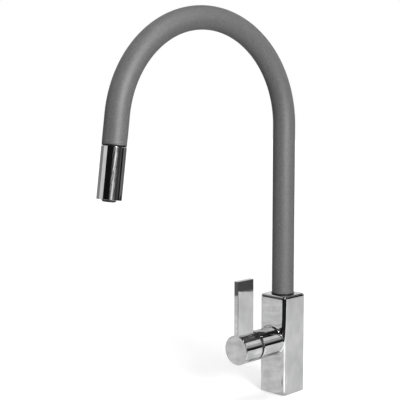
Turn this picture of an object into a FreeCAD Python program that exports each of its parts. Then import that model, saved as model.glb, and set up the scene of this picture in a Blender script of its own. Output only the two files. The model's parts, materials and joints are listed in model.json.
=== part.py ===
import FreeCAD, Part
import math
import os

V = FreeCAD.Vector

# Pull-out mixer tap with a square column, a valve on its front and a gooseneck spout.
# Lengths are in millimetres and angles in degrees.
# The origin is the centre of the column's underside, where it stands on the worktop.
# +Z points up, and the valve and the spout both look towards -Y.

# Clearances that the pieces share.
fixed_gap = 0.05
running_gap = 0.06
face_gap = 0.15
free_gap = 0.3

# How far a shape that cuts or joins another runs past the face it meets.
overshoot = 1.0

# Square column.
column_side = 38.0
column_height = 116.4
column_corner = 4.6
column_top_round = 2.6
column_foot_chamfer = 0.4

# Rubber ring let into the underside.
gasket_inset = 1.0
gasket_bore = 16.6
gasket_thickness = 1.6

# Threaded holes in the underside: two for the fixing studs and three for hoses.
stud_spacing = 26.5
stud_hole_radius = 2.5
stud_hole_depth = 12.0
port_radius = 3.5
port_depth = 12.0
port_wall = 0.95
port_angle = 40.0
channel_radius = 2.6

# Valve housing that grows out of the column's front.
valve_height = 62.5
housing_radius = 16.7
housing_foot_round = 2.4
housing_front_round = 0.8
seat_depth = 2.0
seat_peg_radius = 1.2
seat_peg_height = 1.5
seat_peg_side = 8.5
seat_peg_drop = 6.0

# Spout: a tube that rises from the column, bends over and comes down to its outlet.
tube_radius = 12.8
tube_wall = 1.5
spout_rise = 312.8
bend_radius = 116.6
bend_angle = 172.7
outlet_straight = 31.7
spout_swing = -6.35
swivel_range = 150.0

# Swivel: a brass spigot in two nylon bushes, kept in by a screw in a groove.
spigot_grip = 25.0
spout_bore_depth = 38.0
bush_wall = 1.6
bush_length = 11.0
glide_ring_thickness = 0.9
glide_ring_lip = 0.5
groove_floor = 1.2
stop_screw_radius = 2.5
stop_screw_tip_radius = 1.75
stop_screw_recess = 0.6
key_across = 2.5
key_depth = 2.0

# Pull-out hose and its end fitting.
hose_radius = 6.5
hose_wall = 2.5
hose_slack = 0.4
guide_wall = 1.0
guide_length = 12.0
guide_flange = 2.0
ferrule_wall = 0.85
ferrule_grip = 13.0
ferrule_bore = 3.0
ferrule_neck_radius = 5.2
ferrule_neck_length = 4.7
ferrule_flange_radius = 6.6
ferrule_flange = 1.5
ferrule_web = 1.0
ferrule_nipple_short = 2.0
ferrule_pass_gap = 1.2
hose_washer_thickness = 2.0

# Conical nut that screws on the spray head and docks in the end of the tube.
nut_mouth_wall = 2.4
nut_tip_wall = 2.6
nut_roof = 2.8
dock_flange = 1.0
dock_lip = 0.25
dock_length = 17.0

# Spray head.
head_radius = 12.85
head_length = 53.8
head_wall = 1.65
head_roof = 1.5
head_edge_round = 0.8
head_foot_round = 0.4
neck_height = 8.8
neck_bore = 4.5
chamber_radius = 7.0
chamber_roof = 12.0
head_base_thickness = 3.0
head_base_recess = 0.5
check_valve_length = 10.0
check_valve_wall = 1.2
check_valve_core = 1.5
check_valve_rib = 0.8

# Outlet insert in the head.
aerator_radius = 7.6
aerator_wall = 0.9
aerator_length = 17.8
aerator_overhang = 2.4
aerator_lip = 2.1
aerator_land = 0.3
aerator_seal_thickness = 2.0
jet_plate_thickness = 1.6
jet_plate_rim = 5.0
jet_hole_radius = 0.6
jet_hole_count = 12
jet_ring_radius = 4.4
screen_thickness = 1.6
screen_recess = 1.6
screen_cell = 1.9
screen_web = 0.45
screen_rings = 2

# Valve cartridge, from its seat outwards.
cartridge_radius = 12.4
cartridge_wall = 1.2
cartridge_base_thickness = 4.5
fixed_disc_thickness = 3.2
moving_disc_thickness = 3.0
moving_disc_radius = 8.7
carriage_thickness = 5.8
carriage_width = 15.0
ball_radius = 2.8
ball_height = 3.6
stem_throw = 11.0
rotor_nose = 3.1
cartridge_lip = 1.8
cartridge_mouth = 9.5
inlet_side = 3.9
inlet_rise = 3.8
outlet_drop = 4.4
passage_radius_base = 2.0
seal_width = 1.1
seal_thickness = 1.2
window_side = 3.3
window_rise = 3.7
window_radius = 1.4
window_drop = 4.1
window_outlet_radius = 1.9
pocket_radius = 3.6
pocket_depth = 1.6
pocket_drop = 3.9
disc_peg_radius = 1.1
disc_peg_height = 1.5
disc_peg_side = 9.3
carriage_peg_radius = 1.0
carriage_peg_height = 1.0
carriage_peg_side = 5.5
tilt_range = 25.0
stem_side = 6.0
stem_neck_radius = 1.9
stem_hub_radius = 4.2
pin_radius = 1.5
pin_inset = 0.7

# Bonnet nut over the cartridge and the domed ring under the cap.
bonnet_wall = 1.55
bonnet_flange = 2.2
bonnet_skirt = 5.5
bonnet_mouth = 10.0
bonnet_notch_width = 2.6
bonnet_notch_depth = 1.1
bonnet_notches = 4
dome_skirt = 1.9
dome_skirt_wall = 1.1
dome_wall = 1.0
dome_gap = 2.0
dome_mouth_margin = 1.5

# Lever: a round cap with a flat bar standing on it.
cap_gap = 4.05
cap_length = 26.0
cap_wall = 1.5
cap_face = 5.0
cap_edge_round = 0.8
cap_boss_radius = 6.5
lever_thickness = 6.0
lever_top = 78.6
lever_edge_round = 0.45
lever_web = 8.0
lever_screw_radius = 2.5
lever_screw_length = 8.0
lever_screw_point = 0.8
lever_screw_from_face = 12.5
lever_plug_length = 3.0
lever_plug_recess = 0.2

# Sizes that follow from the ones above.
half_side = column_side / 2
tube_bore = tube_radius - tube_wall
spigot_radius = tube_bore - fixed_gap
ferrule_radius = hose_radius + fixed_gap + ferrule_wall
spigot_bore = ferrule_radius + ferrule_pass_gap
bush_bore = spigot_radius + running_gap
bush_radius = bush_bore + bush_wall
spout_bore = bush_radius + fixed_gap
spout_bore_floor = column_height - spout_bore_depth
guide_top = spout_bore_floor + guide_flange
guide_bore = hose_radius + hose_slack
guide_radius = guide_bore + guide_wall
hose_passage = guide_radius + fixed_gap
tube_foot = column_height + glide_ring_thickness
stop_height = (column_height + guide_top) / 2
port_circle = hose_passage + port_wall + port_radius
port_x = port_circle * math.sin(math.radians(port_angle))
port_y = -port_circle * math.cos(math.radians(port_angle))

seat_reach = half_side - seat_depth
disc_reach = seat_reach + cartridge_base_thickness
moving_reach = disc_reach + fixed_disc_thickness
carriage_reach = moving_reach + moving_disc_thickness
ball_reach = carriage_reach + ball_height
pivot_reach = ball_reach + stem_throw
rotor_front = pivot_reach + rotor_nose
cartridge_front = rotor_front + face_gap + cartridge_lip
bonnet_front = cartridge_front + bonnet_flange
housing_reach = bonnet_front + dome_skirt
cap_rim = housing_reach + cap_gap
cap_front = cap_rim + cap_length
cap_bore = housing_radius - cap_wall
cartridge_bore = cartridge_radius - cartridge_wall
rotor_radius = cartridge_bore - running_gap
disc_travel = stem_throw * math.sin(math.radians(tilt_range))
bonnet_radius = cartridge_radius + fixed_gap + bonnet_wall
stem_half = stem_side / 2
stem_gap = running_gap + face_gap
dome_radius = math.hypot(cap_rim - pivot_reach, cap_bore) - dome_gap

washer_foot = neck_height
ferrule_foot = washer_foot + hose_washer_thickness
ferrule_shoulder = ferrule_foot + ferrule_flange
ferrule_sleeve_foot = ferrule_shoulder + ferrule_neck_length
hose_tip = ferrule_sleeve_foot + ferrule_web
nut_roof_foot = ferrule_shoulder + face_gap
nut_top = nut_roof_foot + nut_roof
nut_bore = ferrule_flange_radius + free_gap
neck_radius = nut_bore - fixed_gap
nut_mouth_radius = nut_bore + nut_mouth_wall
nut_tip_radius = ferrule_neck_radius + free_gap + nut_tip_wall
head_top = -free_gap
head_foot = head_top - head_length
core_top = head_top - head_roof
core_radius = head_radius - head_wall - fixed_gap
base_foot = head_foot + head_base_recess
base_top = base_foot + head_base_thickness
aerator_foot = head_foot - aerator_overhang
aerator_top = aerator_foot + aerator_length
aerator_bore = aerator_radius - aerator_wall

# Frames in which groups of pieces are drawn.
swing = FreeCAD.Placement(V(0, 0, 0), FreeCAD.Rotation(V(0, 0, 1), spout_swing))
bend_end = math.radians(bend_angle)
outlet_direction = V(0, -math.sin(bend_end), math.cos(bend_end))
outlet_place = V(0, bend_radius * (math.cos(bend_end) - 1), spout_rise + bend_radius * math.sin(bend_end))
outlet_place = outlet_place + outlet_direction * outlet_straight
outlet = FreeCAD.Placement(outlet_place, FreeCAD.Rotation(V(1, 0, 0), bend_angle - 180))
valve = FreeCAD.Placement(V(0, 0, valve_height), FreeCAD.Rotation(V(1, 0, 0), 90))

parts = {}


def placed(shape, *frames):
    """The shape moved into a frame, and that frame into the next one."""
    moved = shape.copy()
    for frame in frames:
        moved.Placement = frame.multiply(moved.Placement)
    return moved


def turned(profile):
    """Solid of revolution about Z. A corner is (radius, height); an arc is (middle, end)."""
    start = V(profile[0][0], 0, profile[0][1])
    here = start
    edges = []
    for step in profile[1:] + profile[:1]:
        if isinstance(step[0], tuple):
            middle = V(step[0][0], 0, step[0][1])
            there = V(step[1][0], 0, step[1][1])
            edges.append(Part.Arc(here, middle, there).toShape())
        else:
            there = V(step[0], 0, step[1])
            edges.append(Part.LineSegment(here, there).toShape())
        here = there
    face = Part.Face(Part.Wire(edges))
    solid = face.revolve(V(0, 0, 0), V(0, 0, 1), 360)
    if solid.Volume < 0:
        solid.reverse()
    return solid


def disc(radius, low, high, x=0.0, y=0.0):
    """Upright cylinder between two heights."""
    return Part.makeCylinder(radius, high - low, V(x, y, low))


def ring(radius, bore, low, high):
    """Upright cylinder with a bore right through."""
    return disc(radius, low, high).cut(disc(bore, low - overshoot, high + overshoot))


def block(width, depth, low, high, x=0.0, y=0.0):
    """Upright box about a point, width along X and depth along Y."""
    return Part.makeBox(width, depth, high - low, V(x - width / 2, y - depth / 2, low))


def drilled(start, end, radius):
    """Round channel from one point to another."""
    return Part.makeCylinder(radius, (end - start).Length, start, end - start)


def round_about(shape, count):
    """The shape repeated evenly about Z."""
    copies = []
    for i in range(count):
        turn = FreeCAD.Placement(V(0, 0, 0), FreeCAD.Rotation(V(0, 0, 1), 360.0 * i / count))
        copies.append(placed(shape, turn))
    return Part.makeCompound(copies)


def rounded_square(side, corner, low, high):
    """Upright square bar with rounded corners."""
    bar = block(side, side, low, high)
    upright = [edge for edge in bar.Edges if edge.BoundBox.ZLength > edge.BoundBox.DiagonalLength / 2]
    return bar.makeFillet(corner, upright)


def bent_tube(radius, bore, foot, tip):
    """Tube from a height up the stem, round the bend, to a distance short of the outlet's plane."""
    stem = ring(radius, bore, foot, spout_rise)
    circles = [Part.Wire(Part.makeCircle(size, V(0, 0, spout_rise))) for size in (radius, bore)]
    bend = Part.Face(circles).revolve(V(0, -bend_radius, spout_rise), V(1, 0, 0), bend_angle)
    end = placed(ring(radius, bore, tip, outlet_straight), outlet)
    return placed(stem.fuse([bend, end]).removeSplitter(), swing)


def path_length(foot, tip):
    """Length of the middle line of a bent tube."""
    return spout_rise - foot + bend_radius * bend_end + outlet_straight - tip


def in_valve(shape):
    """Drawn about the valve's axis: X across, Y up, Z the distance from the column's axis."""
    return placed(shape, valve)


def in_outlet(shape):
    """Drawn about the outlet's axis: Z=0 is the plane where the head meets the tube."""
    return placed(shape, outlet, swing)


def make_body():
    column = rounded_square(column_side, column_corner, 0, column_height)
    rim = [edge for edge in column.Edges if edge.BoundBox.ZMin > column_height - 0.01]
    column = column.makeFillet(column_top_round, rim)
    foot = [edge for edge in column.Edges if edge.BoundBox.ZMax < 0.01]
    column = column.makeChamfer(column_foot_chamfer, foot)
    flat_radius = housing_radius - housing_front_round
    round_start = housing_reach - housing_front_round
    slant = housing_front_round * math.sqrt(0.5)
    barrel = turned([
        (0, seat_reach - seat_depth),
        (housing_radius, seat_reach - seat_depth),
        (housing_radius, round_start),
        ((flat_radius + slant, round_start + slant), (flat_radius, housing_reach)),
        (0, housing_reach),
    ])
    body = column.fuse(in_valve(barrel))
    foot_edges = []
    for edge in body.Edges:
        middle = edge.CenterOfMass
        near_face = -half_side - 0.1 < middle.y < -half_side + column_corner + 0.1
        near_barrel = abs(middle.z - valve_height) < housing_radius + 0.1
        if near_face and near_barrel and not isinstance(edge.Curve, Part.Line):
            foot_edges.append(edge)
    body = body.makeFillet(housing_foot_round, foot_edges)

    cuts = [
        disc(spout_bore, spout_bore_floor, column_height + overshoot),
        disc(hose_passage, -overshoot, spout_bore_floor + overshoot),
        in_valve(disc(cartridge_radius + fixed_gap, seat_reach, housing_reach + overshoot)),
        in_valve(disc(bonnet_radius + fixed_gap, bonnet_front - bonnet_skirt - bonnet_flange - free_gap,
                      housing_reach + overshoot)),
        gasket_solid(free_gap / 2),
    ]
    for side in (-1, 1):
        top = V(side * port_x, port_y, valve_height + inlet_rise)
        cuts.append(disc(port_radius, -overshoot, port_depth, side * port_x, port_y))
        cuts.append(disc(channel_radius, 0, top.z, side * port_x, port_y))
        cuts.append(drilled(V(side * inlet_side, -seat_reach - overshoot, top.z), top, passage_radius_base))
        cuts.append(disc(stud_hole_radius, -overshoot, stud_hole_depth, side * stud_spacing / 2))
        cuts.append(in_valve(disc(seat_peg_radius + fixed_gap, seat_reach - seat_peg_height - free_gap,
                                  seat_reach + overshoot, side * seat_peg_side, -seat_peg_drop)))
    outlet_top = V(0, -port_circle, valve_height - outlet_drop)
    cuts.append(disc(port_radius, -overshoot, port_depth, 0, -port_circle))
    cuts.append(disc(channel_radius, 0, outlet_top.z, 0, -port_circle))
    cuts.append(drilled(V(0, -seat_reach - overshoot, outlet_top.z), outlet_top, passage_radius_base))
    cuts.append(drilled(V(0, 0, stop_height), V(0, half_side + overshoot, stop_height),
                        stop_screw_radius + fixed_gap))
    return body.cut(cuts)


def gasket_solid(extra):
    """Square rubber ring about a round opening, or the groove for it with a little room."""
    side = column_side - 2 * gasket_inset + 2 * extra
    corner = max(column_corner - gasket_inset + extra, extra)
    plate = rounded_square(side, corner, -extra, gasket_thickness)
    return plate.cut(disc(gasket_bore - extra, -overshoot - extra, gasket_thickness + overshoot))


def make_stop_screw():
    """Grub screw from the back of the column, with its tip in the spigot's groove."""
    tip_end = spigot_bore + groove_floor + free_gap
    shoulder = bush_radius - bush_wall / 2
    head = half_side - stop_screw_recess
    screw = turned([
        (0, tip_end),
        (stop_screw_tip_radius, tip_end),
        (stop_screw_tip_radius, shoulder),
        (stop_screw_radius, shoulder),
        (stop_screw_radius, head),
        (0, head),
    ])
    screw = screw.cut(hexagon(key_across, head - key_depth, head + overshoot))
    back = FreeCAD.Placement(V(0, 0, stop_height), FreeCAD.Rotation(V(1, 0, 0), -90))
    return placed(screw, back)


def hexagon(across, low, high, x=0.0, y=0.0):
    """Upright six-sided bar, given across its flats."""
    reach = across / math.sqrt(3)
    corners = []
    for i in range(7):
        angle = math.radians(60 * i + 30)
        corners.append(V(x + reach * math.cos(angle), y + reach * math.sin(angle), low))
    return Part.Face(Part.makePolygon(corners)).extrude(V(0, 0, high - low))


def make_spigot():
    """Brass sleeve that turns in the column and carries the tube; the groove limits its swing."""
    sleeve = ring(spigot_radius, spigot_bore, guide_top + face_gap, tube_foot + spigot_grip)
    floor_radius = spigot_bore + groove_floor
    half_width = stop_screw_tip_radius + running_gap
    span = swivel_range + 2 * math.degrees(math.asin(half_width / floor_radius))
    low = stop_height - half_width
    high = stop_height + half_width
    sector = Part.makeCylinder(spigot_radius + overshoot, high - low, V(0, 0, low), V(0, 0, 1), span)
    sector = sector.cut(disc(floor_radius, low - overshoot, high + overshoot))
    sector.rotate(V(0, 0, 0), V(0, 0, 1), 90 - span / 2)
    return placed(sleeve.cut(sector), swing)


def make_guide_bush():
    """Plastic bush that centres the hose where it leaves the spout for the column."""
    return turned([
        (guide_bore, spout_bore_floor - guide_length),
        (guide_radius, spout_bore_floor - guide_length),
        (guide_radius, spout_bore_floor),
        (bush_radius, spout_bore_floor),
        (bush_radius, guide_top),
        (guide_bore, guide_top),
    ])


def make_cartridge_base():
    """Plastic foot of the cartridge: three passages, a seal recess at both ends of each."""
    base = disc(cartridge_radius, seat_reach, disc_reach)
    cuts = []
    for x, y in base_passages():
        recess = passage_radius_base + seal_width + fixed_gap
        cuts.append(disc(passage_radius_base, seat_reach - overshoot, disc_reach + overshoot, x, y))
        cuts.append(disc(recess, seat_reach - overshoot, seat_reach + seal_thickness, x, y))
        cuts.append(disc(recess, disc_reach - seal_thickness, disc_reach + overshoot, x, y))
    base = base.cut(cuts)
    for side in (-1, 1):
        base = base.fuse(disc(disc_peg_radius, disc_reach - overshoot, disc_reach + disc_peg_height,
                              side * disc_peg_side))
        base = base.fuse(disc(seat_peg_radius, seat_reach - seat_peg_height, seat_reach + overshoot,
                              side * seat_peg_side, -seat_peg_drop))
    return in_valve(base)


def base_passages():
    """Places of the hot, cold and mixed water passages on the cartridge's face."""
    return [(-inlet_side, inlet_rise), (inlet_side, inlet_rise), (0, -outlet_drop)]


def make_cartridge_seals():
    """Six rubber rings, one at both ends of each passage in the cartridge's foot."""
    rings = []
    for x, y in base_passages():
        for low in (seat_reach, disc_reach - seal_thickness):
            seal = disc(passage_radius_base + seal_width, low, low + seal_thickness, x, y)
            hole = disc(passage_radius_base, low - overshoot, low + seal_thickness + overshoot, x, y)
            rings.append(seal.cut(hole))
    return in_valve(Part.makeCompound(rings))


def make_fixed_disc():
    """Ceramic disc with two inlet windows and one outlet window, held by two pegs."""
    plate = disc(cartridge_bore - fixed_gap, disc_reach, moving_reach)
    cuts = [disc(window_outlet_radius, disc_reach - overshoot, moving_reach + overshoot, 0, -window_drop)]
    for side in (-1, 1):
        cuts.append(disc(window_radius, disc_reach - overshoot, moving_reach + overshoot,
                         side * window_side, window_rise))
        cuts.append(disc(disc_peg_radius + fixed_gap, disc_reach - overshoot,
                         disc_reach + disc_peg_height + free_gap, side * disc_peg_side))
    return in_valve(plate.cut(cuts))


def make_moving_disc():
    """Ceramic disc whose pocket joins the windows once the lever slides it up."""
    centre = -disc_travel / 2
    plate = disc(moving_disc_radius, moving_reach, carriage_reach, 0, centre)
    cuts = [disc(pocket_radius, moving_reach - overshoot, moving_reach + pocket_depth, 0, -pocket_drop)]
    for side in (-1, 1):
        cuts.append(disc(carriage_peg_radius + fixed_gap, carriage_reach - carriage_peg_height - face_gap,
                         carriage_reach + overshoot, side * carriage_peg_side, centre))
    return in_valve(plate.cut(cuts))


def make_disc_carriage():
    """Plastic carriage on the moving disc, with the socket for the stem's ball."""
    centre = -disc_travel / 2
    top = carriage_reach + carriage_thickness
    plate = disc(moving_disc_radius, carriage_reach, top, 0, centre)
    plate = plate.common(block(carriage_width, 4 * moving_disc_radius, carriage_reach, top, 0, centre))
    for side in (-1, 1):
        plate = plate.fuse(disc(carriage_peg_radius, carriage_reach - carriage_peg_height,
                                carriage_reach + overshoot, side * carriage_peg_side, centre))
    socket = disc(ball_radius + running_gap, ball_reach - ball_radius - running_gap, top + overshoot)
    return in_valve(plate.cut(socket))


def make_rotor():
    """Plastic body that turns with the lever: legs guide the carriage, a wedge clears the stem."""
    foot = carriage_reach + face_gap
    rotor = disc(rotor_radius, foot, rotor_front)
    web = carriage_reach + carriage_thickness + face_gap
    slot = block(carriage_width + 2 * running_gap, 3 * rotor_radius, foot - overshoot, web)
    half = stem_half + stem_gap
    slope = math.tan(math.radians(tilt_range))
    widened = half / math.cos(math.radians(tilt_range))
    far = rotor_front - pivot_reach + overshoot
    near = pivot_reach - web + overshoot
    outer = [(half, 0), (half, far), (-widened - far * slope, far), (-widened, 0)]
    inner = [(-half, 0), (-half, -near), (widened + near * slope, -near), (widened, 0)]
    cuts = [slot, across(stem_hub_radius + running_gap, 2 * half)]
    for outline in (outer, inner):
        corners = [V(-half, y, pivot_reach + along) for y, along in outline + outline[:1]]
        cuts.append(Part.Face(Part.makePolygon(corners)).extrude(V(2 * half, 0, 0)))
    cuts.append(across(pin_radius + fixed_gap, 2 * rotor_radius + 2))
    return in_valve(rotor.cut(cuts))


def across(radius, length):
    """Cylinder along X through the point that the lever tilts about."""
    return Part.makeCylinder(radius, length, V(-length / 2, 0, pivot_reach), V(1, 0, 0))


def make_stem_pin():
    """Steel pin across the rotor, on which the stem tilts."""
    return in_valve(across(pin_radius, 2 * (rotor_radius - pin_inset)))


def make_stem():
    """Steel stem: square outside, a hub on the pin, and a ball in the carriage's socket."""
    stem = block(stem_side, stem_side, pivot_reach, stem_end())
    stem = stem.fuse(across(stem_hub_radius, 2 * stem_half + 2 * face_gap))
    stem = stem.fuse(disc(stem_neck_radius, ball_reach, pivot_reach))
    stem = stem.fuse(Part.makeSphere(ball_radius, V(0, 0, ball_reach)))
    return in_valve(stem.cut(across(pin_radius + running_gap, 4 * stem_side)))


def stem_end():
    """Distance of the stem's outer end from the column's axis."""
    return cap_front - cap_face - free_gap


def make_cartridge_housing():
    """Plastic shell round the discs and the rotor, with a lip that keeps the rotor in."""
    return in_valve(turned([
        (cartridge_bore, disc_reach),
        (cartridge_radius, disc_reach),
        (cartridge_radius, cartridge_front),
        (cartridge_mouth, cartridge_front),
        (cartridge_mouth, rotor_front + face_gap),
        (cartridge_bore, rotor_front + face_gap),
    ]))


def make_bonnet_nut():
    """Brass nut screwed into the housing over the cartridge's shoulder, with key notches."""
    nut = turned([
        (cartridge_radius + fixed_gap, cartridge_front - bonnet_skirt),
        (bonnet_radius, cartridge_front - bonnet_skirt),
        (bonnet_radius, bonnet_front),
        (bonnet_mouth, bonnet_front),
        (bonnet_mouth, cartridge_front),
        (cartridge_radius + fixed_gap, cartridge_front),
    ])
    notch = block(2 * bonnet_radius, bonnet_notch_width, bonnet_front - bonnet_notch_depth,
                  bonnet_front + overshoot, bonnet_radius)
    return in_valve(nut.cut(round_about(notch, bonnet_notches).Solids))


def make_dome_ring():
    """Black nylon ring, part of a ball about the lever's pivot, that closes the gap as it tilts."""
    foot = housing_reach - pivot_reach
    mouth = math.radians(tilt_range + dome_mouth_margin) + math.atan(stem_half * math.sqrt(2) / dome_radius)
    inside = dome_radius - dome_wall
    skirt_bore = bonnet_radius - dome_skirt_wall
    foot_angle = math.acos(foot / dome_radius)
    inner_angle = math.asin(skirt_bore / inside)

    def on_ball(radius, angle):
        return (radius * math.sin(angle), pivot_reach + radius * math.cos(angle))

    return in_valve(turned([
        (skirt_bore, bonnet_front),
        (bonnet_radius, bonnet_front),
        (bonnet_radius, housing_reach),
        on_ball(dome_radius, foot_angle),
        (on_ball(dome_radius, (foot_angle + mouth) / 2), on_ball(dome_radius, mouth)),
        on_ball(inside, mouth),
        (on_ball(inside, (inner_angle + mouth) / 2), on_ball(inside, inner_angle)),
    ]))


def make_handle():
    """Cap and bar in one piece: a cup over the dome, a boss on the stem and a flat bar on top."""
    floor = cap_front - cap_face
    edge = cap_edge_round
    slant = edge * math.sqrt(0.5)
    cap = turned([
        (0, floor),
        (cap_bore, floor),
        (cap_bore, cap_rim),
        (housing_radius, cap_rim),
        (housing_radius, cap_front - edge),
        ((housing_radius - edge + slant, cap_front - edge + slant), (housing_radius - edge, cap_front)),
        (0, cap_front),
    ])
    bar_foot = cap_bore + cap_wall / 5
    bar = block(lever_thickness, lever_top - bar_foot, cap_rim, cap_front, 0, (lever_top + bar_foot) / 2)
    bar = bar.makeFillet(lever_edge_round, [e for e in bar.Edges if e.BoundBox.YMax > housing_radius])
    boss = disc(cap_boss_radius, pivot_reach + dome_radius + free_gap, floor + overshoot)
    screw_reach = cap_front - lever_screw_from_face
    web = block(lever_web, cap_bore, screw_reach - lever_web / 2, floor + overshoot,
                0, -(cap_bore + free_gap) / 2)
    handle = cap.fuse([bar, boss, web])
    socket = block(stem_side + 2 * fixed_gap, stem_side + 2 * fixed_gap, cap_rim, floor)
    screw_hole = drilled(V(0, 0, screw_reach), V(0, -housing_radius - overshoot, screw_reach),
                         lever_screw_radius + fixed_gap)
    return in_valve(handle.cut([socket, screw_hole]))


def make_lever_screw():
    """Grub screw through the underside of the cap that pinches the stem."""
    start = stem_half + fixed_gap
    end = start + lever_screw_length
    screw = turned([
        (0, start),
        (lever_screw_radius - fixed_gap, start),
        (lever_screw_radius, start + lever_screw_point),
        (lever_screw_radius, end),
        (0, end),
    ])
    screw = screw.cut(hexagon(key_across, end - key_depth, end + overshoot))
    return in_valve(placed(screw, under_cap()))


def make_lever_plug():
    """Plastic plug that covers the grub screw's hole."""
    end = math.sqrt(housing_radius ** 2 - lever_screw_radius ** 2) - lever_plug_recess
    return in_valve(placed(disc(lever_screw_radius, end - lever_plug_length, end), under_cap()))


def under_cap():
    """Frame of the grub screw's hole: its Z runs down from the valve's axis."""
    place = V(0, 0, cap_front - lever_screw_from_face)
    return FreeCAD.Placement(place, FreeCAD.Rotation(V(1, 0, 0), 90))


def make_dock_insert():
    """Plastic sleeve in the end of the tube; its cone centres the hose's nut."""
    mouth = nut_mouth_radius + free_gap
    return in_outlet(turned([
        (mouth, 0),
        (tube_radius - dock_lip, 0),
        (tube_radius - dock_lip, dock_flange),
        (tube_bore - fixed_gap, dock_flange),
        (tube_bore - fixed_gap, dock_length),
        (nut_tip_radius + free_gap, dock_length),
        (nut_tip_radius + free_gap, nut_top),
    ]))


def make_hose_ferrule():
    """Crimped steel end of the hose: sleeve outside, nipple inside, and a flange that swivels."""
    sleeve_top = hose_tip + ferrule_grip
    nipple_radius = hose_radius - hose_wall - fixed_gap
    nipple_top = sleeve_top - ferrule_nipple_short
    return in_outlet(turned([
        (ferrule_bore, ferrule_foot),
        (ferrule_flange_radius, ferrule_foot),
        (ferrule_flange_radius, ferrule_shoulder),
        (ferrule_neck_radius, ferrule_shoulder),
        (ferrule_neck_radius, ferrule_sleeve_foot),
        (ferrule_radius, ferrule_sleeve_foot),
        (ferrule_radius, sleeve_top),
        (hose_radius + fixed_gap, sleeve_top),
        (hose_radius + fixed_gap, hose_tip),
        (nipple_radius, hose_tip),
        (nipple_radius, nipple_top),
        (ferrule_bore, nipple_top),
    ]))


def make_hose_nut():
    """Conical nut that clamps the head's roof to its core and lets the ferrule swivel."""
    return in_outlet(turned([
        (nut_bore, head_top),
        (nut_mouth_radius, head_top),
        (nut_tip_radius, nut_top),
        (ferrule_neck_radius + free_gap, nut_top),
        (ferrule_neck_radius + free_gap, nut_roof_foot),
        (nut_bore, nut_roof_foot),
    ]))


def make_head_shell():
    """Chromed sleeve of the spray head, closed by a roof that the nut bears on."""
    upper = head_edge_round
    lower = head_foot_round
    upper_slant = upper * (1 - math.sqrt(0.5))
    lower_slant = lower * (1 - math.sqrt(0.5))
    inside = head_radius - head_wall
    return in_outlet(turned([
        (neck_radius + fixed_gap, head_top),
        (head_radius - upper, head_top),
        ((head_radius - upper_slant, head_top - upper_slant), (head_radius, head_top - upper)),
        (head_radius, head_foot + lower),
        ((head_radius - lower_slant, head_foot + lower_slant), (head_radius - lower, head_foot)),
        (inside, head_foot),
        (inside, core_top),
        (neck_radius + fixed_gap, core_top),
    ]))


def make_head_core():
    """Plastic waterway of the head: threaded neck, check valve bore and mixing chamber."""
    chamber_top = core_top - chamber_roof
    seal_top = aerator_top + aerator_seal_thickness
    return in_outlet(turned([
        (neck_bore, neck_height),
        (neck_radius, neck_height),
        (neck_radius, core_top),
        (core_radius, core_top),
        (core_radius, base_top),
        (aerator_radius + fixed_gap, base_top),
        (aerator_radius + fixed_gap, seal_top),
        (chamber_radius - aerator_wall, seal_top),
        (chamber_radius, seal_top + aerator_wall),
        (chamber_radius, chamber_top),
        (neck_bore, chamber_top),
    ]))


def make_check_valve():
    """Small plastic valve in the neck: a sleeve, three ribs and a poppet in the middle."""
    top = neck_height - face_gap
    foot = top - check_valve_length
    outer = neck_bore - fixed_gap
    sleeve = ring(outer, outer - check_valve_wall, foot, top)
    rib = block(outer - check_valve_wall / 2, check_valve_rib, foot + 2 * check_valve_rib,
                top - 2 * check_valve_rib, (outer - check_valve_wall / 2) / 2)
    ribs = round_about(rib, 3).Solids
    poppet = disc(check_valve_core, foot, top)
    return in_outlet(sleeve.fuse(ribs + [poppet]))


def make_aerator_housing():
    """Plastic sleeve of the outlet insert; its lip bulges out of the head as part of a round ring."""
    crown = aerator_bore - aerator_lip + aerator_land
    rise = aerator_overhang - face_gap
    reach = aerator_radius - crown
    bow = (reach ** 2 + rise ** 2) / (2 * rise)
    half_turn = math.atan2(reach, bow - rise) / 2
    middle = (crown + bow * math.sin(half_turn), aerator_foot + bow * (1 - math.cos(half_turn)))
    return in_outlet(turned([
        (aerator_bore, aerator_top),
        (aerator_radius, aerator_top),
        (aerator_radius, aerator_foot + rise),
        (middle, (crown, aerator_foot)),
        (aerator_bore - aerator_lip, aerator_foot),
        (aerator_bore - aerator_lip, aerator_foot + screen_recess),
        (aerator_bore, aerator_foot + screen_recess),
    ]))


def make_aerator_screen():
    """Honeycomb screen at the outlet."""
    low = aerator_foot + screen_recess
    high = low + screen_thickness
    pitch = screen_cell + screen_web
    cells = []
    for row in range(-screen_rings, screen_rings + 1):
        for place in range(-screen_rings, screen_rings + 1):
            if abs(row + place) <= screen_rings:
                x = pitch * (place + row / 2)
                y = pitch * row * math.sqrt(0.75)
                cells.append(hexagon(screen_cell, low - overshoot, high + overshoot, x, y))
    return in_outlet(disc(aerator_bore - fixed_gap, low, high).cut(cells))


def make_jet_plate():
    """Cup with a ring of small holes that breaks the flow into jets above the screen."""
    foot = aerator_foot + screen_recess + screen_thickness
    cup = turned([
        (0, aerator_top - jet_plate_thickness),
        (aerator_bore - fixed_gap - aerator_wall, aerator_top - jet_plate_thickness),
        (aerator_bore - fixed_gap - aerator_wall, foot + jet_plate_rim),
        (aerator_bore - fixed_gap - aerator_wall, foot),
        (aerator_bore - fixed_gap, foot),
        (aerator_bore - fixed_gap, aerator_top),
        (0, aerator_top),
    ])
    hole = disc(jet_hole_radius, aerator_top - 2 * jet_plate_thickness, aerator_top + overshoot,
                jet_ring_radius)
    return in_outlet(cup.cut(round_about(hole, jet_hole_count).Solids))


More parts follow.
